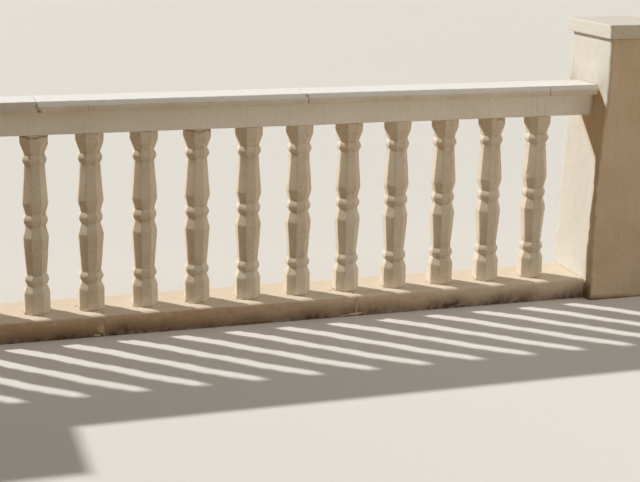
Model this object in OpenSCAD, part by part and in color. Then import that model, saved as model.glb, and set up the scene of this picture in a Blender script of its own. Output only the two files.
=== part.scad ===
// Cast stone terrace balustrade: a straight run of octagonal balusters between two capped piers.
// X runs along the balustrade, Z is up, and the balusters stand on the plane Y = 0.
// The origin is on the ground, midway between the piers. All sizes are in millimetres.

/* [Run] */
// Number of whole bays, each the length of one coping slab
bays = 3; // [1:1:6]
// Balusters under each coping slab
balusters_per_bay = 5; // [3:1:6]
// Distance between the centres of neighbouring balusters
baluster_pitch = 210; // [160:1:300]
// Distance from the last baluster's centre to the pier, at the underside of the rail
end_gap = 225; // [120:1:400]
// Distance of each coping joint to the right of the baluster below it
joint_offset = 8; // [-60:1:60]

/* [Kerb] */
// Height of the kerb that carries the balusters
kerb_h = 83; // [50:1:200]
// Distance from the balusters' centre line to the kerb's front face
kerb_front = 118; // [90:1:200]
// Distance from the balusters' centre line to the kerb's rear face
kerb_back = 158; // [90:1:200]
// Length of a kerb stone, with its joint
kerb_stone_l = 1030; // [600:1:2000]
// Radius of the kerb's two top edges
kerb_edge_r = 20; // [5:1:40]
// Open joint between neighbouring kerb stones
kerb_joint = 3; // [1:0.5:8]

/* [Balusters] */
// Height of a baluster
baluster_h = 700; // [560:1:900]
// Width of the block at the top of a baluster, across its flats
cap_w = 105; // [80:1:130]
// Height of the block at the top
cap_h = 36; // [20:1:90]
// Height of the slope between the block at the top and the upper ring
head_slope_h = 42; // [24:1:80]
// Width of the block at the foot of a baluster, across its flats
base_w = 100; // [80:1:130]
// Height of the block at the foot
base_h = 83; // [20:1:120]
// Height of the slope between the block at the foot and the lower ring
foot_slope_h = 29; // [24:1:80]
// Width where the slopes of a belly meet, across the flats
belly_w = 99; // [80:1:120]
// Width at the crest of the three rings, across the flats
ring_w = 93; // [80:1:110]
// Width at the grooves beside the rings, across the flats
neck_w = 77; // [50:1:79]
// Height of the ring in the middle
mid_ring_h = 44; // [20:1:70]
// Height of the rings near the two ends
end_ring_h = 40; // [20:1:60]
// Distance from the middle ring's crest to where the slopes of each belly meet
belly_reach = 66; // [52:1:120]
// Length of the rounding on each side of a belly's edge
belly_round = 14; // [2:1:16]
// Length of the rounding on each side of a block's edge
block_round = 10; // [2:1:16]

/* [Rail] */
// Height of the rail beam on the balusters
rail_h = 92; // [50:1:200]
// Depth of the rail beam from front to back
rail_d = 104; // [80:1:250]

/* [Coping] */
// Thickness of the coping slabs
coping_h = 41; // [20:1:80]
// Depth of the coping slabs from front to back
coping_d = 182; // [120:1:350]
// Height of the bevel along the coping's top edges
coping_bevel_h = 17; // [2:1:18]
// Width of the bevel along the coping's top edges
coping_bevel_w = 16; // [2:1:40]
// Open joint between neighbouring coping slabs
coping_joint = 3; // [1:0.5:8]

/* [Piers] */
// Width of a pier's shaft at its foot, along the run
pier_foot_w = 350; // [240:1:600]
// Width of a pier's shaft under its cap, along the run
pier_top_w = 280; // [200:1:500]
// Depth of a pier's shaft from front to back
pier_d = 326; // [220:1:500]
// Height of a pier's shaft
pier_h = 1118; // [960:1:1800]
// Thickness of a pier's cap
pier_cap_h = 57; // [30:1:120]
// Overhang of a pier's cap past its shaft
pier_cap_overhang = 18; // [4:1:60]
// Bevel along the cap's top edges
pier_cap_bevel = 5; // [1:1:20]

/* [Hidden] */
gap_count = bays * balusters_per_bay;
baluster_count = gap_count + 1;
run_l = gap_count * baluster_pitch;
bay_l = balusters_per_bay * baluster_pitch;
first_x = -run_l / 2;

rail_z = kerb_h + baluster_h;
coping_z = rail_z + rail_h;

// half the distance between the pier's inner faces at the underside of the rail
pier_face_x = run_l / 2 + end_gap;
// how far each side of a pier leans in for each unit of height
pier_lean = (pier_foot_w - pier_top_w) / 2 / pier_h;
// centre line of the right pier, and the inner edge of its foot
pier_x = pier_face_x + pier_foot_w / 2 - pier_lean * rail_z;
pier_foot_x = pier_x - pier_foot_w / 2;
kerb_count = ceil(2 * pier_foot_x / kerb_stone_l);

// steps in each rounded stretch of the baluster's outline
curve_steps = 3;
// crests of the lower and the upper ring above the baluster's foot, and of the ring midway between them
lower_ring_z = base_h + foot_slope_h + end_ring_h / 2;
upper_ring_z = baluster_h - cap_h - head_slope_h - end_ring_h / 2;
mid_ring_z = (lower_ring_z + upper_ring_z) / 2;
end_ring_reach = upper_ring_z - mid_ring_z;

// name of a numbered stone, such as baluster_01
function stone_name(kind, i) = str(kind, "_", i < 10 ? "0" : "", i);

// points of an outline are half the width across the flats, and the height

// one point of a ring whose crest is at height z, where t runs from -1 at its lower groove to 1 at its upper one
function ring_point(z, h, t) = [(neck_w + (ring_w - neck_w) * cos(90 * t)) / 2, z + t * h / 2];

// an edge between two straight slopes, rounded over the given length of each
function rounded(from, edge, to, length) =
    let (start = edge + length * (from - edge) / norm(from - edge))
    let (stop = edge + length * (to - edge) / norm(to - edge))
    [for (i = [0:curve_steps])
        let (t = i / curve_steps)
        (1 - t) * (1 - t) * start + 2 * t * (1 - t) * edge + t * t * stop];

// upper half of the figure between the blocks: half the middle ring, the belly and the upper ring
half_figure = concat(
    [for (i = [0:curve_steps]) ring_point(mid_ring_z, mid_ring_h, i / curve_steps)],
    rounded(
        [neck_w / 2, mid_ring_z + mid_ring_h / 2],
        [belly_w / 2, mid_ring_z + belly_reach],
        [neck_w / 2, upper_ring_z - end_ring_h / 2],
        belly_round
    ),
    [for (i = [-curve_steps:curve_steps]) ring_point(upper_ring_z, end_ring_h, i / curve_steps)]
);

// the lower half mirrors it about the middle ring's crest, from the lower ring up
mirrored_figure = [for (i = [len(half_figure) - 1:-1:1]) [half_figure[i][0], 2 * mid_ring_z - half_figure[i][1]]];

// right-hand side of the silhouette, from the foot up
baluster_side = concat(
    [[base_w / 2, 0]],
    rounded([base_w / 2, 0], [base_w / 2, base_h], [neck_w / 2, base_h + foot_slope_h], block_round),
    mirrored_figure,
    half_figure,
    rounded(
        [neck_w / 2, baluster_h - cap_h - head_slope_h],
        [cap_w / 2, baluster_h - cap_h],
        [cap_w / 2, baluster_h],
        block_round
    ),
    [[cap_w / 2, baluster_h]]
);

module baluster_silhouette() {
    left_side = [for (i = [len(baluster_side) - 1:-1:0]) [-baluster_side[i][0], baluster_side[i][1]]];
    polygon(concat(baluster_side, left_side));
}

// the silhouette carried straight through in four directions leaves an octagon at every height
module baluster(i) {
    color("#e9e0cf")
    translate([first_x + (i - 1) * baluster_pitch, 0, kerb_h])
    intersection_for(turn = [0, 45, 90, 135]) {
        rotate([0, 0, turn])
        rotate([90, 0, 0])
        linear_extrude(cap_w * 2, center = true)
        baluster_silhouette();
    }
}

// a bar along X whose end view is the given outline
module bar(x_from, x_to) {
    translate([x_from, 0, 0])
    rotate([90, 0, 90])
    linear_extrude(x_to - x_from)
    children();
}

module kerb_outline() {
    translate([-kerb_front, 0]) square([kerb_front + kerb_back, kerb_h - kerb_edge_r]);
    translate([kerb_edge_r - kerb_front, 0]) square([kerb_front + kerb_back - 2 * kerb_edge_r, kerb_h]);
    for (y = [kerb_edge_r - kerb_front, kerb_back - kerb_edge_r]) {
        translate([y, kerb_h - kerb_edge_r]) circle(kerb_edge_r, $fn = 48);
    }
}

// whole stones are laid from the right-hand pier, and the last two at the left share what is left
function kerb_joint_x(i) =
    i == 1 ? (kerb_joint_x(2) - pier_foot_x) / 2 : pier_foot_x - (kerb_count - i) * kerb_stone_l;

module kerb_stone(i) {
    from = i == 1 ? -pier_x : kerb_joint_x(i - 1) + kerb_joint / 2;
    to = i == kerb_count ? pier_x : kerb_joint_x(i) - kerb_joint / 2;
    color("#c9b28c")
    difference() {
        bar(from, to) kerb_outline();
        both_pier_shafts();
    }
}

module rail_beam() {
    color("#e2d8c5")
    difference() {
        bar(-pier_x, pier_x) translate([-rail_d / 2, rail_z]) square([rail_d, rail_h]);
        both_pier_shafts();
    }
}

module coping_outline() {
    top = coping_z + coping_h;
    flat = coping_d / 2 - coping_bevel_w;
    polygon([
        [-coping_d / 2, coping_z], [coping_d / 2, coping_z], [coping_d / 2, top - coping_bevel_h],
        [flat, top], [-flat, top], [-coping_d / 2, top - coping_bevel_h]
    ]);
}

function joint_x(i) = first_x + i * bay_l + joint_offset;

module coping_slab(i) {
    color("#efe9dc")
    bar(joint_x(i - 1) + coping_joint / 2, joint_x(i) - coping_joint / 2) coping_outline();
}

// the short pieces that close the coping against the piers
module coping_closer(side) {
    color("#efe9dc")
    difference() {
        if (side < 0) {
            bar(-pier_x, joint_x(0) - coping_joint / 2) coping_outline();
        } else {
            bar(joint_x(bays) + coping_joint / 2, pier_x) coping_outline();
        }
        both_pier_shafts();
    }
}

module pier_shaft(side) {
    color("#ddd0b8")
    translate([side * pier_x, pier_d / 2, 0])
    rotate([90, 0, 0])
    linear_extrude(pier_d)
    polygon([
        [-pier_foot_w / 2, 0], [pier_foot_w / 2, 0], [pier_top_w / 2, pier_h], [-pier_top_w / 2, pier_h]
    ]);
}

module both_pier_shafts() {
    pier_shaft(-1);
    pier_shaft(1);
}

module cap_outline(w) {
    top = pier_h + pier_cap_h;
    polygon([
        [-w / 2, pier_h], [w / 2, pier_h], [w / 2, top - pier_cap_bevel],
        [w / 2 - pier_cap_bevel, top], [pier_cap_bevel - w / 2, top], [-w / 2, top - pier_cap_bevel]
    ]);
}

module pier_cap(side) {
    w = pier_top_w + 2 * pier_cap_overhang;
    d = pier_d + 2 * pier_cap_overhang;
    color("#efe9dc")
    translate([side * pier_x, 0, 0])
    intersection() {
        rotate([90, 0, 0]) linear_extrude(d, center = true) cap_outline(w);
        rotate([90, 0, 90]) linear_extrude(w, center = true) cap_outline(d);
    }
}

for (i = [1:kerb_count]) {
    kerb_stone(i);
}
for (i = [1:baluster_count]) {
    baluster(i);
}
rail_beam();
coping_closer(-1);  // coping_closer_left
for (i = [1:bays]) {
    coping_slab(i);
}
coping_closer(1);  // coping_closer_right
pier_shaft(-1);  // pier_shaft_left
pier_cap(-1);  // pier_cap_left
pier_shaft(1);  // pier_shaft_right
pier_cap(1);  // pier_cap_right
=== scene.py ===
# Stone balustrade: cast octagonal balusters on a kerb, a rail beam with a coping, and a rendered pier at
# each end.
import math

import bpy
import numpy as np
from mathutils import Matrix, Vector


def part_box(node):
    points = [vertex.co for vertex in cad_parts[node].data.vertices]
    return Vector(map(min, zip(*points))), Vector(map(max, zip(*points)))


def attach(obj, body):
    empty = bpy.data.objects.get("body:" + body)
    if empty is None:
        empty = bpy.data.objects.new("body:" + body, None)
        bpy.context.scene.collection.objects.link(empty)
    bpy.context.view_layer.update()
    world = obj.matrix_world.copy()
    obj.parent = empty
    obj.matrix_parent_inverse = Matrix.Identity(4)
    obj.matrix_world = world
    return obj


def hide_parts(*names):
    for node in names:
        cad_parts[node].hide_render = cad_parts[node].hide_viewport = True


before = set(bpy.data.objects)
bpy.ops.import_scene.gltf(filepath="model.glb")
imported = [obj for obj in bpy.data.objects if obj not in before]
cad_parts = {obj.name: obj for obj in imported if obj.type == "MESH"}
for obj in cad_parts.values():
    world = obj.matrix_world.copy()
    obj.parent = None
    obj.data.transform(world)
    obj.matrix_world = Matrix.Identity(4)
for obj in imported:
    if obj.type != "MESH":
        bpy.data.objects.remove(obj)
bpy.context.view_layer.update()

MM = 0.001
FULL_TURN = 2 * math.pi
# seeds of all that is drawn at random. One that serves several pieces has each one's number added
SEEDS = {"groove_dirt_and_shade": 13, "head_crack": 14, "rough_arris": 15, "coping_crack": 43, "render_lumps": 53,
         "foot_bead": 81, "head_bead": 82, "bite_rim": 90, "arris_chips": 400, "kerb_chips": 500,
         "face_dab_rim": 600, "foot_dabs": 700, "foot_dab_rim": 800}

# Places read from the frame, in metres
KERBS = sorted(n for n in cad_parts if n.startswith("kerb_stone"))
BALUSTERS = sorted(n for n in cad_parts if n.startswith("baluster"))
SLABS = sorted(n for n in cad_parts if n.startswith("coping_slab"))
rail_low, rail_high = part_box("rail_beam")
shaft_low, shaft_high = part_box("pier_shaft_right")
KERB_FRONT, KERB_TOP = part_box(KERBS[0])[0].y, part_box(KERBS[0])[1].z
COPING_FRONT, COPING_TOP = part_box(SLABS[0])[0].y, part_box(SLABS[0])[1].z
PIER_X = (shaft_low.x + shaft_high.x) / 2
PIER_FOOT_HALF = shaft_high.x - PIER_X
# how far a pier's side leans in for each metre of height, from where the rail beam meets it
PIER_LEAN = (rail_high.x - shaft_low.x) / rail_high.z

# The sun: its direction, from the back of the run towards the left, and its height
SUN_AZIMUTH, SUN_HEIGHT = math.radians(49), math.radians(34.5)
# how steeply the edge of the rail's or the coping's shade falls towards the front on a pier's side
SUN_SLOPE = math.tan(SUN_HEIGHT) / math.cos(SUN_AZIMUTH)

# The baluster's own measures, in metres
SIDES = 8
FACE_TURN = FULL_TURN / SIDES
BASE_HALF, BASE_H, FOOT_SLOPE_H = 50.0 * MM, 83 * MM, 29 * MM
CAP_HALF, CAP_H, HEAD_SLOPE_H = 52.5 * MM, 36 * MM, 42 * MM
BELLY_HALF, RING_HALF, NECK_HALF = 49.5 * MM, 46.5 * MM, 38.5 * MM
MID_RING_H, END_RING_H, BELLY_REACH = 44 * MM, 40 * MM, 66 * MM
BELLY_ROUND, BLOCK_ROUND = 5 * MM, 5 * MM
# the higher, the sharper the eight arrises: this leaves them about 3 mm round
ARRIS_POWER = 170
# how far the middle of each face stands proud of its edges, as a share of the half width
FACE_SWELL = 0.010

COPING_BEVEL_W, COPING_BEVEL_H = 16 * MM, 17 * MM
KERB_EDGE_R = 28 * MM
PIER_EDGE_R, PIER_CAP_EDGE_R = 7 * MM, 5 * MM
# how far a piece that meets a pier runs on into its render
BITE = 9 * MM

# How each kind of stone is worn: the depth, the length of the waves and the seed, once or twice over
BALUSTER_WEAR = [(0.9 * MM, 90 * MM, 11), (0.3 * MM, 18 * MM, 12)]
KERB_WEAR = [(1.6 * MM, 220 * MM, 21), (0.8 * MM, 45 * MM, 22)]
RAIL_WEAR = [(1.2 * MM, 260 * MM, 31), (0.5 * MM, 60 * MM, 32)]
COPING_WEAR = [(0.8 * MM, 300 * MM, 41), (0.5 * MM, 40 * MM, 42)]
PIER_WEAR = [(2.0 * MM, 210 * MM, 51), (0.8 * MM, 50 * MM, 52)]
PIER_CAP_WEAR = [(0.9 * MM, 120 * MM, 61)]
MORTAR_WEAR = [(1.5 * MM, 20 * MM, 71)]
# how much darker the breaks of each kind of piece are drawn, for each millimetre of their depth
BREAK_DARKENING = {"baluster": 0.25, "kerb": 0.06, "coping": 0.12, "pier": 0.05, "cap": 0.15}


# Surfaces

def ripple(points, length, seed):
    """Smooth unevenness, mostly from -1 to 1: the sum of plane sine waves in seeded directions, whose
    lengths scatter about the given one, divided by the square root of their number."""
    draws = np.random.default_rng(seed)
    count = 12
    waves = draws.normal(size=(3, count))
    waves *= FULL_TURN / (length * draws.uniform(0.7, 1.6, count) * np.linalg.norm(waves, axis=0))
    return np.sin(points @ waves + draws.uniform(0, FULL_TURN, count)).sum(-1) / math.sqrt(count)


def worn(points, normals, wear):
    """The surface sunk along its normals by between nothing and each depth of its wear, as the ripple of
    that length and seed says."""
    for depth, length, seed in wear:
        sunk = depth * np.clip(0.5 + 0.5 * ripple(points, length, seed), 0, 1)
        points = points - normals * sunk[..., None]
    return points


def bitten(points, normals, bites):
    """The surface with small breaks: each sinks it by depth * (1 - (distance / radius)^2) within its
    radius, or raises it where the depth is negative, and a ripple makes its rim uneven. Where two meet, the
    larger one counts. Gives its points and how far they are sunk."""
    sunk = np.zeros(points.shape[:-1])
    for number, (centre, radius, depth) in enumerate(bites):
        reach = radius * (1 + 0.25 * ripple(points, radius / 1.5, SEEDS["bite_rim"] + number))
        away = np.linalg.norm(points - np.array(centre), axis=-1)
        deep = depth * np.clip(1 - (away / reach) ** 2, 0, 1)
        sunk = np.where(np.abs(deep) > np.abs(sunk), deep, sunk)
    return points - normals * sunk[..., None], sunk


def outline(corners, radii, spacing):
    """A closed outline, counter-clockwise: straight runs in even steps of about the given spacing, joined
    by arcs of the given radii. Gives its points and their outward normals."""
    corners = np.array(corners, float)
    arcs, facing, rows, normals = [], [], [], []
    for here, before, after, radius in zip(corners, np.roll(corners, 1, 0), np.roll(corners, -1, 0), radii):
        to_before = (before - here) / np.linalg.norm(before - here)
        to_after = (after - here) / np.linalg.norm(after - here)
        half = math.acos(np.clip(to_before @ to_after, -1, 1)) / 2
        middle = (to_before + to_after) / np.linalg.norm(to_before + to_after)
        centre = here + middle * radius / math.sin(half)
        first = np.array([-to_before[1], to_before[0]])
        turn = (math.pi - 2 * half) * np.linspace(0, 1, 6)
        cos, sin = np.cos(turn), np.sin(turn)
        fan = np.stack([first[0] * cos - first[1] * sin, first[0] * sin + first[1] * cos], 1)
        arcs.append(centre + fan * radius)
        facing.append(fan)
    for arc, fan, following in zip(arcs, facing, arcs[1:] + arcs[:1]):
        steps = max(2, round(np.linalg.norm(following[0] - arc[-1]) / spacing))
        share = np.linspace(0, 1, steps + 1)[1:-1, None]
        rows += [arc, arc[-1] + (following[0] - arc[-1]) * share]
        normals += [fan, np.repeat(fan[-1:], len(share), 0)]
    return np.concatenate(rows), np.concatenate(normals)


def carried(points, outward, places, axis):
    """An outline carried along an axis: a copy of its points at each place, and their outward normals."""
    rows, normals = np.zeros((2, len(places), len(points), 3))
    across = [other for other in range(3) if other != axis]
    rows[..., axis] = np.array(places)[:, None]
    rows[..., across] = points
    normals[..., across] = outward
    return rows, normals


def piece(name, shells, material, slot, replaces=None, tube=False, **marks):
    """One object from closed shells. A shell is rows of rings of points: the rings are joined by quads that
    wrap round, each end is closed by its last ring, and the whole is turned so that its volume is positive.
    In a tube the last ring joins the first, so there are no ends. Each mark is a number for each point, or
    one for all, that the material reads."""
    points, faces, smooth, base = [], [], [], 0
    for rows in shells:
        high, wide = rows.shape[:2]
        at = np.arange(high * wide).reshape(high, wide)
        low, top = (at, np.roll(at, -1, 0)) if tube else (at[:-1], at[1:])
        quads = np.stack([low, np.roll(low, -1, 1), np.roll(top, -1, 1), top], -1).reshape(-1, 4)
        corners = rows.reshape(-1, 3)[quads]
        first, second = corners[:, 2] - corners[:, 0], corners[:, 3] - corners[:, 1]
        outward = (corners.mean(1) - rows.reshape(-1, 3).mean(0)) * np.cross(first, second)
        ends = [] if tube else [at[0][::-1], at[-1]]
        if outward.sum() < 0:
            quads, ends = quads[:, ::-1], [ring[::-1] for ring in ends]
        faces += (quads + base).tolist() + [(ring + base).tolist() for ring in ends]
        smooth += [True] * len(quads) + [False] * len(ends)
        points.append(rows.reshape(-1, 3))
        base += high * wide
    mesh = bpy.data.meshes.new(name)
    mesh.from_pydata(np.concatenate(points), [], faces)
    mesh.polygons.foreach_set("use_smooth", smooth)
    for mark, values in marks.items():
        layer = mesh.attributes.new(mark, "FLOAT", "POINT")
        layer.data.foreach_set("value", np.broadcast_to(values, base).astype(np.float32))
    mesh.materials.append(material)
    mesh.update()
    made = bpy.data.objects.new(name, mesh)
    bpy.context.scene.collection.objects.link(made)
    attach(made, "root")
    if replaces:
        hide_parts(replaces)
    return made


# Materials

def linear(colour):
    """An sRGB hex colour as the linear colour that a shader takes."""
    parts = [int(colour[i:i + 2], 16) / 255 for i in (1, 3, 5)]
    return [c / 12.92 if c <= 0.04045 else ((c + 0.055) / 1.055) ** 2.4 for c in parts] + [1.0]


def add(tree, kind, inputs, **settings):
    """Adds a node: its settings, then each input as a plain value or a link from another node's output."""
    made = tree.nodes.new("ShaderNode" + kind)
    for name, value in settings.items():
        setattr(made, name, value)
    for name, value in inputs.items():
        if isinstance(value, bpy.types.NodeSocket):
            tree.links.new(value, made.inputs[name])
        else:
            made.inputs[name].default_value = value
    return made


# places of the colour mix's inputs and output among its sockets
SHARE, UNDER, OVER, MIXED = 0, 6, 7, 2
# real sizes that the stones share: a rain stain's width and length, the space between pits, and how far the
# coarsest grains stand out
STAIN_W, STAIN_L, PIT_SPACING, RELIEF = 14 * MM, 160 * MM, 9 * MM, 1.5 * MM


def weathered(name, body, deep, bleach_and_light, soil, roughness, patch=120 * MM, mottle=16 * MM, grain=5 * MM,
              top_bleach_and_light=0.7, streaks=0.2, soil_height=0.0, bump=0.5, clouds=0.45):
    """A weathered mineral surface: body colour with deeper patches and paler clouds; paler where it faces
    the sky, partly bleaching and partly painted sunlight on the tops, and where the piece's own pale mark
    says so, which is painted light on balusters, piers, caps and the kerb and partly so on the coping's
    bevels; darker in rain streaks, which its rain mark strengthens; darker where its soil mark says so,
    which holds dirt and painted shade; and soiled near its foot, up to about the soil height."""
    made = bpy.data.materials.new(name)
    made.use_nodes = True
    tree = made.node_tree
    tree.nodes.clear()
    place = add(tree, "TexCoord", {}).outputs["Object"]

    def noise(size, detail, stretch=None):
        spot = place
        if stretch:
            spot = add(tree, "Mapping", {"Vector": place, "Scale": stretch}).outputs["Vector"]
        return add(tree, "TexNoise", {"Vector": spot, "Scale": 1 / size, "Detail": detail}).outputs["Fac"]

    def spread(value, low, high, to_low=0.0, to_high=1.0):
        return add(tree, "MapRange", {"Value": value, "From Min": low, "From Max": high,
                                      "To Min": to_low, "To Max": to_high}).outputs["Result"]

    def maths(operation, first, second):
        return add(tree, "Math", {0: first, 1: second}, operation=operation).outputs[0]

    def mix(share, under, over):
        return add(tree, "Mix", {SHARE: share, UNDER: under, OVER: over}, data_type="RGBA").outputs[MIXED]

    def mark(called):
        return add(tree, "Attribute", {}, attribute_name=called).outputs["Fac"]

    patches, mottling, grains = noise(patch, 3.0), noise(mottle, 5.0), noise(grain, 2.0)
    colour = mix(spread(patches, 0.35, 0.7), linear(body), linear(deep))
    colour = mix(spread(mottling, 0.3, 0.75, 0.0, clouds), colour, linear(bleach_and_light))
    # paler where the pale mark says so: painted sunlight on balusters, piers, caps and the kerb's right
    # end, partly so on the coping's bevels, and rain washing on the mortar dabs
    colour = mix(mark("pale"), colour, linear(bleach_and_light))
    normal = add(tree, "NewGeometry", {}).outputs["Normal"]
    upward = add(tree, "SeparateXYZ", {"Vector": normal}).outputs["Z"]
    # paler on upward faces: partly sun bleaching, partly painted sunlight on the tops
    colour = mix(spread(upward, 0.68, 0.95, 0.0, top_bleach_and_light), colour, linear(bleach_and_light))
    # rain stains: narrow across, long down the face, and none where the surface faces the sky
    stain = spread(noise(1.0, 3.0, (1 / STAIN_W, 1 / STAIN_W, 1 / STAIN_L)), 0.55, 0.8, 0.0, streaks)
    stain = maths("MULTIPLY", stain, maths("ADD", 1.0, mark("rain")))
    stain = maths("MULTIPLY", stain, spread(upward, 0.2, 0.6, 1.0, 0.0))
    colour = mix(stain, colour, linear(soil))
    # darker where the soil mark says so: dirt, and painted shade in the balusters' ring grooves and feet,
    # along the kerb's foot and on the pier beside the kerb's end
    dirt_and_shade = maths("MULTIPLY", mark("soil"), spread(mottling, 0.25, 0.6, 0.55, 1.0))
    if soil_height:
        height = add(tree, "SeparateXYZ", {"Vector": place}).outputs["Z"]
        wander = spread(patches, 0.2, 0.8, -0.5 * soil_height, 0.5 * soil_height)
        splash = spread(maths("ADD", height, wander), 0.0, soil_height, 0.95, 0.0)
        dirt_and_shade = maths("MAXIMUM", dirt_and_shade, maths("MULTIPLY", splash, spread(mottling, 0.3, 0.6, 0.6, 1.0)))
    colour = mix(dirt_and_shade, colour, linear(soil))
    # pits and grains, darker than what they sit in
    pitting = add(tree, "TexVoronoi", {"Vector": place, "Scale": 1 / PIT_SPACING}).outputs["Distance"]
    pits = maths("MULTIPLY", spread(pitting, 0.0, 0.16, 1.0, 0.0), spread(mottling, 0.52, 0.62))
    colour = mix(maths("MULTIPLY", pits, 0.5), colour, linear(soil))
    colour = mix(spread(grains, 0.35, 0.65, 0.10, 0.0), colour, linear(soil))
    rise = maths("ADD", maths("MULTIPLY", mottling, 0.6), maths("MULTIPLY", grains, 0.4))
    rise = maths("SUBTRACT", rise, maths("MULTIPLY", pits, 0.8))
    relief = add(tree, "Bump", {"Height": rise, "Strength": bump, "Distance": RELIEF}).outputs["Normal"]
    surface = add(tree, "BsdfPrincipled", {"Base Color": colour, "Roughness": roughness, "Normal": relief,
                                           "IOR": 1.5, "Specular IOR Level": 0.3})
    add(tree, "OutputMaterial", {"Surface": surface.outputs["BSDF"]})
    return made


# white cement and marble dust cast in a mould: an even cream with faint cloudy patches and pinholes
CAST_STONE = weathered("cast_stone_from_a_mould", "#E3D4BE", "#D6C4A6", "#F4E8D5", "#8A7050", 0.82,
                       patch=140 * MM, mottle=14 * MM, grain=5 * MM, streaks=0.08, bump=0.3)
# cement render painted with stone wash: trowel-smooth, with rain stains down its face
STONE_WASH = weathered("stone_washed_cement", "#F7EFE1", "#EFE3CE", "#FAF4E9", "#8A7455", 0.85,
                       patch=220 * MM, mottle=22 * MM, streaks=0.08, bump=0.25)
# pale limestone slabs, sawn and rubbed: almost white on top, partly bleaching and partly painted sunlight,
# tan on the faces
SAWN_LIMESTONE = weathered("sawn_pale_limestone", "#E2D3BE", "#D3C1A5", "#FCF9F3", "#8B765A", 0.7,
                           patch=170 * MM, mottle=18 * MM, top_bleach_and_light=0.98, streaks=0.1, bump=0.2,
                           clouds=0.25)
# tan cast kerb stones, rubbed smooth on top and splashed with dirt along the foot; the paler top is partly
# painted sunlight
TAN_KERB = weathered("tan_cast_kerb", "#CBA983", "#B48F68", "#EFE0C9", "#4A3523", 0.85,
                     patch=150 * MM, mottle=24 * MM, top_bleach_and_light=0.9, streaks=0.1, soil_height=62 * MM,
                     bump=0.35, clouds=0.25)
# lime render laid on by hand with a trowel: cloudy, matt, slightly rough
LIME_RENDER = weathered("hand_trowelled_lime_render", "#DBC2A0", "#D1B691", "#E1DDD1", "#755C43", 0.9,
                        patch=190 * MM, mottle=26 * MM, grain=6 * MM, streaks=0.12, soil_height=22 * MM,
                        bump=0.5, clouds=0.25)
# cast stone slab with a rubbed top, drawn paler on top partly as painted sunlight
CAP_STONE = weathered("rubbed_cast_cap_stone", "#DDD0B9", "#CDBEA2", "#E3DED2", "#8A7050", 0.8,
                      patch=160 * MM, mottle=18 * MM, top_bleach_and_light=0.85, streaks=0.12, bump=0.3)
# sand and cement mortar, raked with a stick: greyer and coarser than the stones
MORTAR = weathered("raked_sand_mortar", "#D0BA9A", "#BDA27E", "#E8DAC2", "#6B543B", 0.95,
                   patch=60 * MM, mottle=8 * MM, grain=4 * MM, streaks=0.0, bump=0.9)
# white cement mortar, smoothed with a finger: nearly the colour of the stones it beds
WHITE_MORTAR = weathered("smoothed_white_mortar", "#CFC6B6", "#BFB5A3", "#DDD6C8", "#857763", 0.9,
                         patch=60 * MM, mottle=8 * MM, grain=4 * MM, streaks=0.0, bump=0.4)


# Balusters

def straight(start, stop, step):
    """Points on a straight slope, as half width and height, about a step apart: half a turn of the cosine
    draws them together towards both ends, where the slope meets an edge."""
    start, stop = np.array(start), np.array(stop)
    count = max(6, round(np.linalg.norm(stop - start) / step))
    share = (0.5 - 0.5 * np.cos(np.linspace(0, math.pi, count + 1)))[:, None]
    return start * (1 - share) + stop * share


def rounded(start, edge, stop, length, step):
    """Two straight slopes that meet at an edge, rounded by a parabola over the given length of each."""
    start, edge, stop = (np.array(p) for p in (start, edge, stop))
    into = edge + length * (start - edge) / np.linalg.norm(start - edge)
    out = edge + length * (stop - edge) / np.linalg.norm(stop - edge)
    share = np.linspace(0, 1, 7)[:, None]
    arc = (1 - share) ** 2 * into + 2 * share * (1 - share) * edge + share ** 2 * out
    return np.concatenate([straight(start, into, step)[:-1], arc, straight(out, stop, step)[1:]])


def ring(crest, height):
    """A ring's arch: the half width stands above the neck by a quarter wave of the cosine each way."""
    share = np.linspace(-1, 1, 17)
    return np.stack([NECK_HALF + (RING_HALF - NECK_HALF) * np.cos(share * math.pi / 2),
                     crest + share * height / 2], 1)


def baluster_side(height, step):
    """Half width and height of a baluster's side, from its foot up: block, slope, ring, belly, ring, and
    the same turned over about the middle ring, up to the block under the rail."""
    low_ring = BASE_H + FOOT_SLOPE_H + END_RING_H / 2
    high_ring = height - CAP_H - HEAD_SLOPE_H - END_RING_H / 2
    middle = (low_ring + high_ring) / 2
    belly = rounded((NECK_HALF, middle + MID_RING_H / 2), (BELLY_HALF, middle + BELLY_REACH),
                    (NECK_HALF, high_ring - END_RING_H / 2), BELLY_ROUND, step)
    turned = belly[::-1] * (1, -1) + (0, 2 * middle)
    foot = rounded((BASE_HALF, 0), (BASE_HALF, BASE_H), (NECK_HALF, BASE_H + FOOT_SLOPE_H),
                   BLOCK_ROUND, step)
    head = rounded((NECK_HALF, height - CAP_H - HEAD_SLOPE_H), (CAP_HALF, height - CAP_H),
                   (CAP_HALF, height), BLOCK_ROUND, min(step, 2.5 * MM))
    side = np.concatenate([foot, ring(low_ring, END_RING_H), turned, ring(middle, MID_RING_H), belly,
                           ring(high_ring, END_RING_H), head])
    # where two parts meet, the second one's first point is left out
    fresh = np.append(True, np.linalg.norm(np.diff(side, axis=0), axis=1) > 0.1 * MM)
    return side[fresh]


def octagon(turn):
    """How far a slightly swollen octagon of half width 1 reaches in a direction: one over the p-norm of the
    cosines to its eight faces, which rounds the arrises, less a share that grows with the square of the
    distance from the face's middle."""
    facing = np.clip(np.cos(turn[:, None] - np.arange(SIDES) * FACE_TURN), 0, None)
    to_edge = np.tan(np.arccos(facing.max(1))) / math.tan(FACE_TURN / 2)
    return (1 - FACE_SWELL * to_edge ** 2) / (facing ** ARRIS_POWER).sum(1) ** (1 / ARRIS_POWER)


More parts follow.
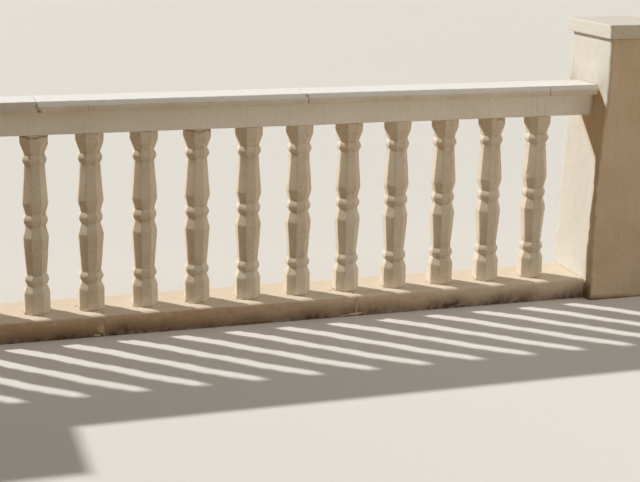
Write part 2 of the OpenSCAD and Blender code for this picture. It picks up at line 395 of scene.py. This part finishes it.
# directions round a baluster, in radians from +X by way of the back, closer together towards its arrises
FACE_STEPS = np.radians([-22.5, -21.6, -20.5, -18, -13, -7, 0, 7, 13, 18, 20.5, 21.6])
ROUND = (np.arange(SIDES)[:, None] * FACE_TURN + FACE_STEPS).ravel()
REACH = octagon(ROUND)
# painted sunlight on each face, in the same order: only on the one that faces the left-hand pier
FACE_PAINTED_SUNLIGHT = np.array([0, 0, 0, 0, 0.3, 0, 0, 0])
# steps up a baluster's side, and up the one whose arris is rough
STEP, ROUGH_STEP = 9 * MM, 4 * MM

# chips along each baluster's arrises: how many, and the least and the most radius and depth in millimetres
CHIPS, CHIP_RADIUS, CHIP_DEPTH = 9, (5, 12), (0.6, 2.0)
# how dark the grooves beside the rings and the foot are drawn, as dirt and painted shade, and how far
# out of the groove and up the foot it reaches
GROOVE_DIRT_AND_SHADE, FOOT_DIRT_AND_SHADE, GROOVE_REACH, FOOT_REACH = 0.3, 0.3, 3 * MM, 5 * MM

# mortar lines under the rail that have cracked open: which baluster, the direction of the line's lowest
# point, how far it dips there, and how far it shows from there each way
OPEN_HEADS = {"baluster_06": (-1.75, 8 * MM, 2.2), "baluster_09": (-1.65, 5 * MM, 1.5),
              "baluster_15": (-0.75, 8 * MM, 1.0)}
# how far below the baluster's top such a line runs, how uneven it is, how wide each way, and how deep
OPEN_BELOW, OPEN_WANDER, OPEN_HALF, OPEN_DEPTH = 6 * MM, 1.5 * MM, 2.2 * MM, 2.5 * MM

# the baluster with lumps along one arris, in the direction between its faces to the right and front right
ROUGH_ARRIS, ROUGH_TURN, ROUGH_HEIGHT = "baluster_16", -FACE_TURN / 2, 1.5 * MM


def arris_chips(side, centre, number):
    """Chips at drawn heights on drawn arrises, a little outside the half width there: centre, radius and
    depth of each."""
    draws = np.random.default_rng(SEEDS["arris_chips"] + number)
    chips = []
    for arris in draws.integers(0, SIDES, CHIPS):
        half, height = side[draws.integers(0, len(side))]
        turn = (arris + 0.5) * FACE_TURN
        out = half * 1.07
        spot = centre + (out * math.cos(turn), out * math.sin(turn), height)
        chips.append((spot, draws.uniform(*CHIP_RADIUS) * MM, draws.uniform(*CHIP_DEPTH) * MM))
    return chips


def open_head(name, points, height, stone_h):
    """How far the mortar line under the rail has opened at each point, from 0 to 1: a band about a line
    that runs round below the top, wanders with a ripple, and dips in a triangle about its lowest point."""
    lowest, dip, shown = OPEN_HEADS[name]
    away = np.abs(np.angle(np.exp(1j * (ROUND - lowest))))
    line = stone_h - OPEN_BELOW - dip * np.clip(1 - away / 0.5, 0, 1)
    line = line + OPEN_WANDER * ripple(points[-1], 20 * MM, SEEDS["head_crack"])
    return np.clip(1.4 - np.abs(height - line) / OPEN_HALF, 0, 1) * np.clip((shown - away) / 0.2, 0, 1)


def rough_lumps(points):
    """Lumps and hollows along one arris, from -0.3 to 1: a ripple that fades away on both sides of it."""
    away = np.angle(np.exp(1j * (ROUND - ROUGH_TURN)))
    rough = np.clip(ripple(points, 11 * MM, SEEDS["rough_arris"]) - 0.2, -0.3, 1)
    return np.clip(1 - np.abs(away) / 0.15, 0, 1) * rough


def baluster(name, number):
    """An octagon carried up the side's outline: each point is the half width at its height times the
    octagon's reach in its direction. It is then worn and chipped, and some are cracked at the head or rough
    along an arris."""
    low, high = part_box(name)
    side = baluster_side(high.z - low.z, ROUGH_STEP if name == ROUGH_ARRIS else STEP)
    centre = np.array([(low.x + high.x) / 2, (low.y + high.y) / 2, low.z])
    reach = side[:, :1] * REACH
    heights = np.repeat(side[:, 1:], len(ROUND), 1)
    points = np.stack([reach * np.cos(ROUND), reach * np.sin(ROUND), heights], -1) + centre
    normals = np.broadcast_to(np.stack([np.cos(ROUND), np.sin(ROUND), 0 * ROUND], -1), points.shape)
    points = worn(points, normals, BALUSTER_WEAR)
    points, broken = bitten(points, normals, arris_chips(side, centre, number))
    height = points[..., 2] - centre[2]
    soil = BREAK_DARKENING["baluster"] * np.clip(broken / MM, 0, 1)
    # darker in the grooves beside the rings and along the foot: dirt and painted shade
    groove = np.clip(1 - (side[:, 0] - NECK_HALF) / GROOVE_REACH, 0, 1)[:, None]
    soil += GROOVE_DIRT_AND_SHADE * groove * np.clip(0.4 + ripple(points, 40 * MM, SEEDS["groove_dirt_and_shade"]), 0, 1)
    soil += FOOT_DIRT_AND_SHADE * np.clip(1 - height / FOOT_REACH, 0, 1)
    if name in OPEN_HEADS:
        opened = open_head(name, points, height, high.z - low.z)
        points = points - normals * (OPEN_DEPTH * opened)[..., None]
        soil += 1.3 * opened
    if name == ROUGH_ARRIS:
        lumps = rough_lumps(points)
        points = points + normals * (ROUGH_HEIGHT * lumps)[..., None]
        soil += 0.15 * np.abs(lumps)
    # the face towards the left-hand pier is drawn paler: painted sunlight
    bleach_and_light = np.broadcast_to(np.repeat(FACE_PAINTED_SUNLIGHT, len(FACE_STEPS)), soil.shape)
    return piece(name + "_stone", [points], CAST_STONE, "cast_stone_baluster", name,
                 soil=np.clip(soil, 0, 1).ravel(), pale=bleach_and_light.ravel())


for number, name in enumerate(BALUSTERS):
    baluster(name, number)


# Bars along the run: kerb, rail beam and coping

def pier_face(height, side):
    """Where a pier's inner face stands at the given height, on the left (-1) or the right (1)."""
    return side * (PIER_X - PIER_FOOT_HALF + PIER_LEAN * height)


def end_of(low, high):
    """The end view of a plain bar: the rectangle of its box across the run."""
    return [(low.y, low.z), (high.y, low.z), (high.y, high.z), (low.y, high.z)]


def bar(x_from, x_to, end_view, radii, soft=4 * MM, spacing=12 * MM, extra=()):
    """An end view carried along X, in even steps and at the extra places. Each free end is softened: over
    the last few millimetres the outline shrinks by a quarter circle. An end at a pier follows the pier's
    leaning face, a little inside it."""
    points, outward = outline(end_view, radii, spacing)
    at_left, at_right = x_from < pier_face(0, -1) + 1 * MM, x_to > pier_face(0, 1) - 1 * MM
    turn = np.radians([0, 18, 36, 54, 72, 90])
    steps = max(4, round((x_to - x_from) / spacing))
    along = np.linspace(x_from, x_to, steps + 1)[1:-1]
    along = np.unique(np.concatenate([along, [x for x in extra if x_from < x < x_to]]))
    along = along[(along > x_from + 1.5 * soft) & (along < x_to - 1.5 * soft)]
    shrink = np.zeros(len(along))
    if at_left:
        along, shrink = np.append(x_from, along), np.append(0, shrink)
    else:
        along = np.append(x_from + soft * (1 - np.cos(turn)), along)
        shrink = np.append(soft * (1 - np.sin(turn)), shrink)
    if at_right:
        along, shrink = np.append(along, x_to), np.append(shrink, 0)
    else:
        along = np.append(along, x_to - soft * (1 - np.cos(turn[::-1])))
        shrink = np.append(shrink, soft * (1 - np.sin(turn[::-1])))
    rows, normals = carried(points, outward, along, 0)
    rows -= normals * shrink[:, None, None]
    for end, side, is_there in ((0, -1, at_left), (-1, 1, at_right)):
        if is_there:
            rows[end, :, 0] = pier_face(rows[end, :, 2], side) + side * BITE
    return rows, normals


# breaks in each kerb stone's front: how many, and the least and the most depth below the top, radius and
# depth of the break in millimetres; then the radius and depth of the break at each end
KERB_BREAKS, BREAK_BELOW, BREAK_RADIUS, BREAK_DEPTH = 7, (8, 70), (6, 16), (0.8, 2.0)
END_BREAK = (12 * MM, 1 * MM)
# how much paler the right-hand end of the kerb is drawn, as painted light, and how dark and how high the
# line along its foot is, as dirt and painted shade
KERB_RIGHT_PAINTED_LIGHT, KERB_FOOT_DIRT_AND_SHADE, KERB_FOOT_LINE_H = 0.6, 0.9, 8 * MM


def kerb_stone(name, number):
    """A kerb stone: flat sides and a flat top with two large round edges, worn in long shallow waves, with
    small breaks. It is drawn paler towards the right-hand pier, as painted light, and darker along its
    foot, as dirt and painted shade."""
    low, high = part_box(name)
    rows, normals = bar(low.x, high.x, end_of(low, high), [1 * MM, 1 * MM, KERB_EDGE_R, KERB_EDGE_R],
                        soft=3 * MM)
    rows = worn(rows, normals, KERB_WEAR)
    draws = np.random.default_rng(SEEDS["kerb_chips"] + number)
    bites = []
    for share in draws.uniform(0, 1, KERB_BREAKS):
        spot = (low.x + share * (high.x - low.x), low.y + 5 * MM, high.z - draws.uniform(*BREAK_BELOW) * MM)
        bites.append((spot, draws.uniform(*BREAK_RADIUS) * MM, draws.uniform(*BREAK_DEPTH) * MM))
    for x in (low.x, high.x):
        bites.append(((x, low.y, high.z - KERB_EDGE_R / 2), *END_BREAK))
    rows, broken = bitten(rows, normals, bites)
    rows[..., 2] = np.maximum(rows[..., 2], low.z)
    # paler towards the right-hand pier: painted light
    pale = np.interp(rows[..., 0], [0, PIER_X], [0, KERB_RIGHT_PAINTED_LIGHT])
    # a dark line along the foot: dirt and painted shade
    foot = np.clip(1 - (rows[..., 2] - low.z) / KERB_FOOT_LINE_H, 0, 1)
    soil = np.clip(BREAK_DARKENING["kerb"] * broken / MM + KERB_FOOT_DIRT_AND_SHADE * foot, 0, KERB_FOOT_DIRT_AND_SHADE)
    return piece(name + "_stone", [rows], TAN_KERB, "kerb_stone", name, soil=soil.ravel(),
                 pale=pale.ravel())


for number, name in enumerate(KERBS):
    kerb_stone(name, number)

# the rain runs off the coping most at its right-hand end, and has streaked the rail there: places along the
# run, and how strong the stains are at each
STREAKED_FROM, STREAKED = [1.15, 1.3, PIER_X], [0.0, 3.0, 4.0]
rail, rail_normals = bar(rail_low.x, rail_high.x, end_of(rail_low, rail_high), [3 * MM] * 4)
rail = worn(rail, rail_normals, RAIL_WEAR)
streaked = np.interp(rail[..., 0], STREAKED_FROM, STREAKED)
piece("rail_beam_stone", [rail], STONE_WASH, "rail_stone", "rail_beam", soil=0.0, rain=streaked.ravel())

# broken corners at two of the coping's joints: centre, radius and depth
COPING_BREAKS = {"coping_slab_01": [((-0.5165, -0.091, 0.900), 15 * MM, 6 * MM)],
                 "coping_slab_02": [((-0.5125, -0.091, 0.881), 14 * MM, 5 * MM),
                                    ((0.5315, -0.084, 0.908), 12 * MM, 4 * MM)]}
# a hair crack down the face of the second slab: place, width each way, how far it wanders, and depth
CRACK_X, CRACK_HALF, CRACK_WANDER, CRACK_DEPTH = -0.328, 1.6 * MM, 1.5 * MM, 1.0 * MM
# how much paler the slabs' bevels are drawn, partly rain bleaching and partly painted skylight, all but one
# slab's, whose front is dirty instead
BEVEL_BLEACH_AND_SKYLIGHT, DIRTY_SLAB, SLAB_SOIL = 0.7, "coping_slab_01", 0.18
# how dark the dirt is that gathers on top in the corner beside a pier, and how far out it reaches
CORNER_SOIL, CORNER_REACH = 0.2, 150 * MM


def coping(name):
    """A coping slab: a flat underside, upright faces and a bevel along each top edge, all softly worn. The
    crack is a groove in the front face along a line that wanders with a ripple."""
    low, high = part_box(name)
    flat_low, flat_high = low.y + COPING_BEVEL_W, high.y - COPING_BEVEL_W
    end_view = [(low.y, low.z), (high.y, low.z), (high.y, high.z - COPING_BEVEL_H), (flat_high, high.z),
                (flat_low, high.z), (low.y, high.z - COPING_BEVEL_H)]
    near_crack = CRACK_X + np.linspace(-4, 4, 9) * MM
    rows, normals = bar(low.x, high.x, end_view, [1.5 * MM, 1.5 * MM, 3 * MM, 4 * MM, 4 * MM, 3 * MM],
                        soft=1.5 * MM, spacing=9 * MM, extra=near_crack)
    rows = worn(rows, normals, COPING_WEAR)
    rows, broken = bitten(rows, normals, COPING_BREAKS.get(name, []))
    dirty, at_front = name == DIRTY_SLAB, rows[..., 1] < flat_low
    soil = BREAK_DARKENING["coping"] * broken / MM + SLAB_SOIL * dirty * at_front
    from_pier = pier_face(high.z, 1) - np.abs(rows[..., 0])
    soil += CORNER_SOIL * np.clip(1 - from_pier / CORNER_REACH, 0, 1) * (rows[..., 2] > high.z - 2 * MM)
    line = CRACK_X + CRACK_WANDER * ripple(rows * (0, 1, 1), 30 * MM, SEEDS["coping_crack"])
    above_face = rows[..., 2] - (high.z - COPING_BEVEL_H)
    crack = np.clip(1 - np.abs(rows[..., 0] - line) / CRACK_HALF, 0, 1)
    crack = crack * (at_front & (above_face < 2 * MM))
    rows = rows - normals * (CRACK_DEPTH * crack)[..., None]
    # the bevels are drawn paler: partly rain bleaching, partly painted skylight on the upward bevel
    pale = (0 if dirty else BEVEL_BLEACH_AND_SKYLIGHT) * np.clip((above_face + 2 * MM) / (3 * MM), 0, 1)
    return piece(name + "_stone", [rows], SAWN_LIMESTONE, "coping_stone", name,
                 soil=np.clip(soil + crack, 0, 1).ravel(), pale=pale.ravel())


for name in SLABS + ["coping_closer_left", "coping_closer_right"]:
    coping(name)


# Piers

def tower(half_x, half_y, heights, radius, spacing):
    """A rectangle with rounded corners about the origin, carried up to each height in turn."""
    corners = [(-half_x, -half_y), (half_x, -half_y), (half_x, half_y), (-half_x, half_y)]
    return carried(*outline(corners, [radius] * 4, spacing), heights, 2)


# how far the front corner facing the run stands out from the batter at some heights, as the trowel left it,
# and how many times that outline is smoothed
CORNER_HEIGHTS = np.array([0, 60, 200, 400, 550, 690, 780, 870, 970, 1118]) * MM
CORNER_SWELL = np.array([-7, -3, 5, 11, 11, 4, 1, -5, -4, 1]) * MM
SMOOTHINGS = 6
# the swell fades out from the front to this share of the half depth
SWELL_TO = 0.35
# chips along that corner: height, radius and depth; the last is a lump of render beside the kerb instead
CORNER_CHIPS = [(0.905, 9 * MM, 3 * MM), (0.838, 12 * MM, 4 * MM), (0.79, 8 * MM, 2.5 * MM),
                (0.44, 10 * MM, 3 * MM), (0.36, 14 * MM, 3.5 * MM), (0.23, 9 * MM, 2.5 * MM),
                (0.108, 22 * MM, -7 * MM)]
# how deep the trowel has left hollows along the corners
CORNER_HOLLOW = 2.5 * MM
# how much paler the sides and the back of shafts and caps are drawn: painted sunlight, partly sun bleaching
PIER_BLEACH_AND_LIGHT = 0.9
# how dark the side that faces the run is drawn beside the kerb's end, as painted shade, and where the
# coping meets it, as dirt, and how far each reaches from there
BY_KERB_PAINTED_SHADE, BY_COPING_SOIL, BY_KERB_REACH, BY_COPING_REACH = 0.9, 0.2, 30 * MM, 70 * MM


def pier_sunlight_and_bleach(rows, normals, facing_run, front_y):
    """How pale a shaft is drawn, from 0 to 1: painted sunlight, partly sun bleaching. Pale are its back,
    its far side, and the side that faces the run, but for painted shade in the band that rail and coping
    shelter and in a strip along the front corner, where the last baluster's shadow falls. The band lies
    between two lines that fall towards the front as the sun's light does, from the back of the rail's foot
    and from the coping's front edge."""
    on_run_side = np.clip(normals[..., 0] * facing_run, 0, 1)
    under = rail_low.z - (rail_high.y - rows[..., 1]) * SUN_SLOPE - rows[..., 2]
    over = rows[..., 2] - COPING_TOP + np.maximum(COPING_FRONT - rows[..., 1], 0) * SUN_SLOPE
    lit_below = np.clip(under / (30 * MM), 0, 1) * np.clip((rows[..., 1] - front_y) / (50 * MM) - 0.3, 0, 1)
    lit_above = np.clip(over / (20 * MM) + 0.7, 0, 1)
    elsewhere = np.maximum(normals[..., 1], -normals[..., 0] * facing_run)
    return np.clip(np.maximum(on_run_side * np.maximum(lit_below, lit_above), elsewhere), 0, 1)


def pier_shaft(name):
    """A pier's shaft: a rectangle that narrows upwards along the run, in hand-laid render whose faces
    wave a little and whose corners are uneven. The front corner facing the run swells and sinks with the
    height, fading out smoothly over a third of the pier's depth. Painted shade darkens it beside the kerb's
    end, and dirt sits where the coping meets the shaft. It is drawn paler where the sun falls on it:
    painted sunlight, partly sun bleaching."""
    low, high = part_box(name)
    middle_x, half_y = (low.x + high.x) / 2, (high.y - low.y) / 2
    facing_run = -1 if middle_x > 0 else 1
    heights = np.linspace(low.z, high.z, 150)
    rows, normals = tower(PIER_FOOT_HALF, half_y, heights, PIER_EDGE_R, 9 * MM)
    rows[..., 0] *= ((PIER_FOOT_HALF - PIER_LEAN * heights) / PIER_FOOT_HALF)[:, None]
    swell = np.interp(heights, CORNER_HEIGHTS, CORNER_SWELL)
    for _ in range(SMOOTHINGS):
        swell[1:-1] = (swell[:-2] + swell[1:-1] + swell[2:]) / 3
    near_front = np.clip((-rows[..., 1] - half_y * SWELL_TO) / (half_y * (1 - SWELL_TO)), 0, 1) ** 2
    near_run = np.clip(rows[..., 0] * facing_run / PIER_FOOT_HALF * 4 - 2, 0, 1)
    rows[..., 0] += facing_run * swell[:, None] * near_front * near_run
    rows += (middle_x, (low.y + high.y) / 2, 0)
    rows = worn(rows, normals, PIER_WEAR)
    corner = np.clip(np.abs(normals[..., 0] * normals[..., 1]) * 6, 0, 1)
    hollows = np.clip(0.5 + 0.5 * ripple(rows, 50 * MM, SEEDS["render_lumps"]), 0, 1) * corner
    rows = rows - normals * (CORNER_HOLLOW * hollows)[..., None]
    bites = []
    for height, radius, depth in CORNER_CHIPS:
        edge_x = middle_x + facing_run * (PIER_FOOT_HALF - PIER_LEAN * height)
        bites.append(((edge_x, low.y, height), radius, depth))
    rows, broken = bitten(rows, normals, bites)
    on_run_side = np.clip(normals[..., 0] * facing_run, 0, 1)
    # painted shade beside the kerb's end, and dirt where the coping meets the shaft
    by_kerb = np.clip((KERB_TOP - rows[..., 2]) / BY_KERB_REACH, 0, 1) * on_run_side
    by_coping = np.clip(1 - np.abs(rows[..., 2] - COPING_TOP) / BY_COPING_REACH, 0, 1) * on_run_side
    soil = BREAK_DARKENING["pier"] * np.maximum(broken, 0) / MM + BY_KERB_PAINTED_SHADE * by_kerb
    soil = np.clip(soil + BY_COPING_SOIL * by_coping, 0, BY_KERB_PAINTED_SHADE)
    # paler where the sun falls on it: painted sunlight, partly sun bleaching
    bleach_and_light = PIER_BLEACH_AND_LIGHT * pier_sunlight_and_bleach(rows, normals, facing_run, low.y)
    return piece(name + "_render", [rows], LIME_RENDER, "pier_render", name, pale=bleach_and_light.ravel(),
                 soil=soil.ravel())


def pier_cap(name):
    """A pier's cap: a slab whose edges are rounded by a small quarter circle below and a larger one above,
    with two broken corners. It is drawn pale all round but at the front, as the shaft is: painted sunlight,
    partly sun bleaching, with the front left darker as painted shade."""
    low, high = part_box(name)
    half_x, half_y = (high.x - low.x) / 2, (high.y - low.y) / 2
    turn = np.radians([0, 30, 60, 90])
    below, above = 2 * MM, PIER_CAP_EDGE_R
    lower = [(below * (1 - math.sin(t)), low.z + below * (1 - math.cos(t))) for t in turn]
    upper = [(above * (1 - math.cos(t)), high.z - above * (1 - math.sin(t))) for t in turn]
    between = np.linspace(lower[-1][1], upper[0][1], 7)[1:-1]
    reach = 0.98 * (min(half_x, half_y) - above)
    inward = [(above + step * reach, high.z) for step in (0.04, 0.2, 0.4, 0.6, 0.8, 1.0)]
    profile = lower + [(0, z) for z in between] + upper + inward
    rows, normals = tower(half_x, half_y, [z for _, z in profile], 4 * MM, 14 * MM)
    shrunk = np.array([inset for inset, _ in profile])
    rows[..., 0] *= 1 - shrunk[:, None] / half_x
    rows[..., 1] *= 1 - shrunk[:, None] / half_y
    rows += ((low.x + high.x) / 2, (low.y + high.y) / 2, 0)
    normals[-len(inward):] = (0, 0, 1)
    rows = worn(rows, normals, PIER_CAP_WEAR)
    bites = [((low.x, low.y, high.z - 3 * MM), 14 * MM, 4 * MM),
             ((high.x, high.y, low.z + 9 * MM), 12 * MM, 3 * MM)]
    rows, broken = bitten(rows, normals, bites)
    # paler all round but at the front: painted sunlight, partly sun bleaching
    bleach_and_light = PIER_BLEACH_AND_LIGHT * np.clip(np.maximum(normals[..., 1], np.abs(normals[..., 0])), 0, 1)
    return piece(name + "_stone", [rows], CAP_STONE, "pier_cap_stone", name, pale=bleach_and_light.ravel(),
                 soil=np.clip(BREAK_DARKENING["cap"] * broken / MM, 0, 1).ravel())


for side in ("left", "right"):
    pier_shaft("pier_shaft_" + side)
    pier_cap("pier_cap_" + side)


# Mortar

def joint_fill(name, stones, soft, depth, side_depth, material, slot):
    """Mortar in the open joints of a row of stones: the stones' own end view, sunk by one depth on top and
    another at the sides, and carried across each joint and a little into both stones."""
    shells = []
    for left, right in zip(stones, stones[1:]):
        low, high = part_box(left)
        next_low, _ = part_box(right)
        middle = (high.x + next_low.x) / 2
        reach = (next_low.x - high.x) / 2 + soft
        near, far = low.y + side_depth, high.y - side_depth
        foot, top = low.z + 0.5 * MM, high.z - depth
        points, outward = outline([(near, foot), (far, foot), (far, top), (near, top)],
                                  [1 * MM, 1 * MM, 16 * MM, 16 * MM], 10 * MM)
        rows, normals = carried(points, outward, middle + np.linspace(-reach, reach, 5), 0)
        rows = worn(rows, normals, MORTAR_WEAR)
        rows[..., 2] = np.maximum(rows[..., 2], low.z)
        shells.append(rows)
    return piece(name, shells, material, slot, soil=0.15)


joint_fill("kerb_joint_mortar", KERBS, 6 * MM, 1.0 * MM, 1.0 * MM, MORTAR, "kerb_stone")
joint_fill("coping_joint_mortar", ["coping_closer_left"] + SLABS + ["coping_closer_right"], 2 * MM,
           1.2 * MM, 4.0 * MM, WHITE_MORTAR, "coping_stone")


def bead(level, half, direction, largest, seed):
    """A bead of bedding mortar squeezed out round each baluster, in the corner between it and the stone
    below it (direction 1) or above it (-1): small rounds carried round the octagon, whose size swells and
    fades with a ripple."""
    shells = []
    turn = np.radians(np.arange(0, 360, 45))
    for name in BALUSTERS:
        low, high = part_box(name)
        x, y = (low.x + high.x) / 2, (low.y + high.y) / 2
        out = np.stack([np.cos(ROUND), np.sin(ROUND)], -1) * (half * REACH)[:, None]
        spots = np.stack([out[:, 0] + x, out[:, 1] + y, np.full(len(out), level)], -1)
        size = largest * np.clip(0.35 + 0.75 * ripple(spots, 45 * MM, seed), 0.08, 1)
        across = out / np.linalg.norm(out, axis=1)[:, None]
        rows = np.zeros((len(turn), len(spots), 3))
        rows[..., :2] = spots[:, :2] + across * (size * np.cos(turn)[:, None])[..., None]
        rows[..., 2] = level + direction * np.maximum(size * np.sin(turn)[:, None], -0.4 * MM)
        shells.append(rows)
    return shells


foot_beads = bead(KERB_TOP - 0.5 * MM, BASE_HALF - 1 * MM, 1, 4.5 * MM, SEEDS["foot_bead"])
head_beads = bead(rail_low.z + 0.5 * MM, CAP_HALF - 1 * MM, -1, 2.2 * MM, SEEDS["head_bead"])
piece("foot_mortar", foot_beads, MORTAR, "cast_stone_baluster", tube=True, soil=0.08)
piece("head_mortar", head_beads, WHITE_MORTAR, "cast_stone_baluster", tube=True, soil=0.0)


def dab(centre, along, up, out, sizes, seed):
    """A dab of mortar on a face: rings about its centre whose rim is uneven by a sum of sines, raised as a
    flattened dome, with a flat back a little inside the face."""
    centre, along, up, out = (np.array(v, float) for v in (centre, along, up, out))
    wide, high, thick = sizes
    turn = np.linspace(0, FULL_TURN, 28, endpoint=False)
    draws = np.random.default_rng(seed)
    rim = 1
    for waves in (2, 3, 5, 8):
        rim = rim + draws.uniform(0.04, 0.16) * np.sin(waves * turn + draws.uniform(0, FULL_TURN))
    shares = np.array([0.06, 0.3, 0.55, 0.75, 0.9, 1.0, 1.0])
    lift = np.append(thick * np.sqrt(np.clip(1 - shares[:-1] ** 2, 0, 1)), -1 * MM)
    reach = rim * shares[:, None]
    across = along * (wide / 2 * reach * np.cos(turn))[..., None]
    upwards = up * (high / 2 * reach * np.sin(turn))[..., None]
    return centre + across + upwards + out * np.broadcast_to(lift[:, None, None], reach.shape + (1,))


# dabs on the kerb's front: the place along the run in metres, then the height of the middle, the width, the
# height and the thickness in millimetres
FACE_DABS = [(-0.298, 32, 24, 32, 1.2), (0.735, 9, 70, 9, 1.4), (0.69, 6, 44, 7, 1.4),
             (-0.311, 7, 28, 10, 1.2), (-1.05, 12, 60, 16, 2.0)]
# droppings beside each baluster: how many, the least and the most distance from it and width in
# millimetres, the depth as a share of the width, and the thickness
FOOT_DABS, FOOT_DAB_AWAY, FOOT_DAB_W, FOOT_DAB_SHARE, FOOT_DAB_H = 2, (4, 16), (4, 11), 0.7, 1.6 * MM
# how far the rain has washed the lowest dabs pale, and up to what height
WASHED, WASHED_H = 0.4, 14 * MM

dabs = []
for number, (x, z, wide, high, thick) in enumerate(FACE_DABS):
    spot, sizes = (x, KERB_FRONT + 1 * MM, z * MM), (wide * MM, high * MM, thick * MM)
    made = dab(spot, (1, 0, 0), (0, 0, 1), (0, -0.7, 0), sizes, SEEDS["face_dab_rim"] + number)
    made[..., 2] = np.maximum(made[..., 2], 0.3 * MM)
    dabs.append(made)
for number, name in enumerate(BALUSTERS):
    low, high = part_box(name)
    draws = np.random.default_rng(SEEDS["foot_dabs"] + number)
    for turn in draws.uniform(0, FULL_TURN, FOOT_DABS):
        away = BASE_HALF + draws.uniform(*FOOT_DAB_AWAY) * MM
        spot = ((low.x + high.x) / 2 + away * math.cos(turn), away * math.sin(turn), KERB_TOP - 0.8 * MM)
        wide = draws.uniform(*FOOT_DAB_W)
        sizes = (wide * MM, wide * FOOT_DAB_SHARE * MM, FOOT_DAB_H)
        dabs.append(dab(spot, (1, 0, 0), (0, 1, 0), (0, 0, 1), sizes, SEEDS["foot_dab_rim"] + number))
dab_heights = np.concatenate([shell[..., 2].ravel() for shell in dabs])
washed = WASHED * np.clip(1.6 - dab_heights / WASHED_H, 0, 1)
piece("mortar_smears", dabs, MORTAR, "kerb_stone", soil=0.0, pale=washed)


# Studio

FLOOR_HALF, FLOOR_Z = 60.0, -0.3 * MM
FLOOR_SHOWN, FLOOR_LIGHTING = "#E6E2DA", "#A8977D"
WORLD_COLOUR, WORLD_STRENGTH, WORLD_SHOWN = "#F6EDE1", 0.165, 0.85


def seen(tree):
    """1 for a ray that shows what it meets, to the camera or in a reflection, and 0 for one that lights."""
    path = add(tree, "LightPath", {}).outputs
    mirrored = add(tree, "Math", {0: path["Is Glossy Ray"], 1: path["Is Transmission Ray"]},
                   operation="MAXIMUM").outputs[0]
    return add(tree, "Math", {0: path["Is Camera Ray"], 1: mirrored}, operation="MAXIMUM").outputs[0]


# the floor shows pale, and is darker to other rays, so that it doesn't light the shaded fronts from below
pale_floor = bpy.data.materials.new("pale_floor")
pale_floor.use_nodes = True
floor_nodes = pale_floor.node_tree
floor_shader = floor_nodes.nodes["Principled BSDF"]
floor_shader.inputs["Roughness"].default_value = 0.9
floor_colour = add(floor_nodes, "Mix", {SHARE: seen(floor_nodes), UNDER: linear(FLOOR_LIGHTING),
                                        OVER: linear(FLOOR_SHOWN)}, data_type="RGBA").outputs[MIXED]
floor_nodes.links.new(floor_colour, floor_shader.inputs["Base Color"])
floor_mesh = bpy.data.meshes.new("floor")
floor_corners = [(x * FLOOR_HALF, y * FLOOR_HALF, FLOOR_Z) for x, y in ((-1, -1), (1, -1), (1, 1), (-1, 1))]
floor_mesh.from_pydata(floor_corners, [], [(0, 1, 2, 3)])
floor_mesh.materials.append(pale_floor)
floor = bpy.data.objects.new("floor", floor_mesh)
bpy.context.scene.collection.objects.link(floor)

# the world lights the object softly and a little warmly, and shows as a pale background
world = bpy.data.worlds.new("studio")
world.use_nodes = True
bpy.context.scene.world = world
strength = add(world.node_tree, "MapRange", {"Value": seen(world.node_tree), "To Min": WORLD_STRENGTH,
                                             "To Max": WORLD_SHOWN}).outputs["Result"]
background = world.node_tree.nodes["Background"]
background.inputs["Color"].default_value = linear(WORLD_COLOUR)
world.node_tree.links.new(strength, background.inputs["Strength"])


def lamp(name, kind, at, towards, energy, **settings):
    """A lamp at one point that shines towards another."""
    made = bpy.data.lights.new(name, kind)
    made.energy = energy
    for setting, value in settings.items():
        setattr(made, setting, value)
    placed = bpy.data.objects.new(name, made)
    placed.location = at
    placed.rotation_euler = (Vector(at) - Vector(towards)).to_track_quat("Z", "Y").to_euler()
    bpy.context.scene.collection.objects.link(placed)


# the key light comes low from behind on the left, as the light on the stones does
level = math.cos(SUN_HEIGHT)
sun_from = Vector((-math.sin(SUN_AZIMUTH) * level, math.cos(SUN_AZIMUTH) * level, math.sin(SUN_HEIGHT)))
lamp("key", "SUN", sun_from * 10, (0, 0, 0), 3.55, angle=math.radians(1.2))
# a very soft light from overhead, for what an open sky gives the upward faces
lamp("top_fill", "SUN", (0, -1, 8), (0, 0, 0), 0.15, angle=math.radians(60))
# two soft lights from the right in front, for what sunlit surroundings throw back there: an even one, and a
# near one that weakens towards the left and is kept off the floor by its narrow spread
lamp("fill", "SUN", (8, -4.5, 4.5), (0, 0, 0), 0.6, angle=math.radians(70))
lamp("near_fill", "AREA", (2.2, -4.5, 1.2), (1.1, 0, 0.6), 3.3, shape="SQUARE", size=1.2,
     spread=math.radians(60))

# the camera looks from the photograph's angle: from left of the middle and above the rail, turned to the
# right, tipped down and rolled a little
CAMERA_AT = Vector((-1.0109, -4.9015, 1.7074))
YAW, PITCH, ROLL = (math.radians(angle) for angle in (16.608, 11.162, 0.895))
LENS_MM, SHIFT_X, SHIFT_Y, FARTHEST = 73.52, 0.06, -0.15, 300
ahead = Vector((math.sin(YAW), math.cos(YAW), 0))
sideways = Vector((math.cos(YAW), -math.sin(YAW), 0))
straight_up = Vector((0, 0, 1))
look = ahead * math.cos(PITCH) - straight_up * math.sin(PITCH)
level_up = straight_up * math.cos(PITCH) + ahead * math.sin(PITCH)
right = sideways * math.cos(ROLL) + level_up * math.sin(ROLL)
top = level_up * math.cos(ROLL) - sideways * math.sin(ROLL)
camera = bpy.data.cameras.new("camera")
camera.lens = LENS_MM
camera.shift_x, camera.shift_y = SHIFT_X, SHIFT_Y
camera.clip_end = FARTHEST
camera_object = bpy.data.objects.new("camera", camera)
turned = Matrix((right, top, -look)).transposed().to_4x4()
camera_object.matrix_world = Matrix.Translation(CAMERA_AT) @ turned
bpy.context.scene.collection.objects.link(camera_object)
bpy.context.scene.camera = camera_object
bpy.context.scene.view_settings.view_transform = "Standard"
